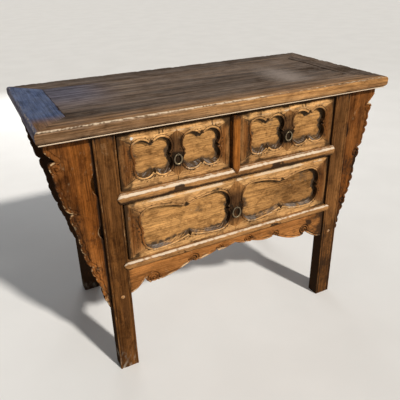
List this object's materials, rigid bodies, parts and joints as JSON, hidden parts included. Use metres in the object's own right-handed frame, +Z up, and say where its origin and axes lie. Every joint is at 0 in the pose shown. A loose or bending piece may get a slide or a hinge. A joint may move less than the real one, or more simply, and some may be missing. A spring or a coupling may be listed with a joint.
{
  "type": "altar cabinet",
  "caption": "Carved hardwood altar cabinet with splayed legs, ring-pulled drawers with cusped panels, a scalloped apron and leaf-edged wings under an overhanging framed top.",
  "frame": {"origin": "middle of the footprint, on the floor", "axes": "+X along the width to the right hand of someone facing the drawers, -Y out of the drawer fronts, +Z up"},
  "size_m": [1.165, 0.53, 0.86],
  "materials": {
    "top_wood": "dark brown lacquer, worn and slightly glossy",
    "leg_wood": "mid brown stained hardwood, rubbed on the edges",
    "carved_wood": "orange-brown carved hardwood with dark hollows",
    "front_wood": "golden tan hardwood, dirty in the corners",
    "dark_wood": "dark stained hardwood",
    "inner_wood": "bare sawn softwood",
    "old_brass": "worn dull brass wire"
  },
  "bodies": {
    "cabinet": {"back_bottom_rail": "leg_wood", "back_middle_rail": "inner_wood", "back_panel": "inner_wood", "drawer_divider": "leg_wood", "front_apron": "carved_wood", "front_bottom_rail": "leg_wood", "front_middle_rail": "leg_wood", "front_top_rail": "dark_wood", "leg_back_left": "leg_wood", "leg_back_right": "leg_wood", "leg_front_left": "leg_wood", "leg_front_right": "leg_wood", "lower_runner_left": "inner_wood", "lower_runner_right": "inner_wood", "side_bottom_rail_left": "leg_wood", "side_bottom_rail_right": "leg_wood", "side_panel_left": "leg_wood", "side_panel_right": "leg_wood", "top_back_rail": "top_wood", "top_batten_left": "inner_wood", "top_batten_right": "inner_wood", "top_front_rail": "top_wood", "top_left_end": "top_wood", "top_panel": "top_wood", "top_right_end": "top_wood", "upper_guide_centre": "inner_wood", "upper_runner_centre": "inner_wood", "upper_runner_left": "inner_wood", "upper_runner_right": "inner_wood", "wing_back_left": "carved_wood", "wing_back_right": "carved_wood", "wing_front_left": "carved_wood", "wing_front_right": "carved_wood"},
    "drawer_left": {"drawer_left_back": "inner_wood", "drawer_left_bottom": "inner_wood", "drawer_left_frame": "front_wood", "drawer_left_ground": "front_wood", "drawer_left_mullion": "dark_wood", "drawer_left_pull_pin": "old_brass", "drawer_left_side_left": "inner_wood", "drawer_left_side_right": "inner_wood"},
    "drawer_left_ring": {"drawer_left_pull_ring": "old_brass"},
    "drawer_right": {"drawer_right_back": "inner_wood", "drawer_right_bottom": "inner_wood", "drawer_right_frame": "front_wood", "drawer_right_ground": "front_wood", "drawer_right_mullion": "dark_wood", "drawer_right_pull_pin": "old_brass", "drawer_right_side_left": "inner_wood", "drawer_right_side_right": "inner_wood"},
    "drawer_right_ring": {"drawer_right_pull_ring": "old_brass"},
    "drawer_lower": {"drawer_lower_back": "inner_wood", "drawer_lower_bottom": "inner_wood", "drawer_lower_frame": "front_wood", "drawer_lower_ground": "front_wood", "drawer_lower_mullion": "dark_wood", "drawer_lower_pull_pin": "old_brass", "drawer_lower_side_left": "inner_wood", "drawer_lower_side_right": "inner_wood"},
    "drawer_lower_ring": {"drawer_lower_pull_ring": "old_brass"}
  },
  "joints": [
    {"name": "drawer_left_slide", "type": "slide", "parent": "cabinet", "child": "drawer_left", "axis": [0, -1, 0], "range_m": [0, 0.3]},
    {"name": "drawer_left_ring_hinge", "type": "hinge", "parent": "drawer_left", "child": "drawer_left_ring", "pos_m": [-0.20027, -0.24714, 0.72515], "axis": [-1, 0, 0], "range_deg": [0, 170]},
    {"name": "drawer_right_slide", "type": "slide", "parent": "cabinet", "child": "drawer_right", "axis": [0, -1, 0], "range_m": [0, 0.3]},
    {"name": "drawer_right_ring_hinge", "type": "hinge", "parent": "drawer_right", "child": "drawer_right_ring", "pos_m": [0.19276, -0.24714, 0.72515], "axis": [-1, 0, 0], "range_deg": [0, 170]},
    {"name": "drawer_lower_slide", "type": "slide", "parent": "cabinet", "child": "drawer_lower", "axis": [0, -1, 0], "range_m": [0, 0.3]},
    {"name": "drawer_lower_ring_hinge", "type": "hinge", "parent": "drawer_lower", "child": "drawer_lower_ring", "pos_m": [0, -0.25095, 0.50065], "axis": [-1, 0, 0], "range_deg": [0, 170]}
  ]
}
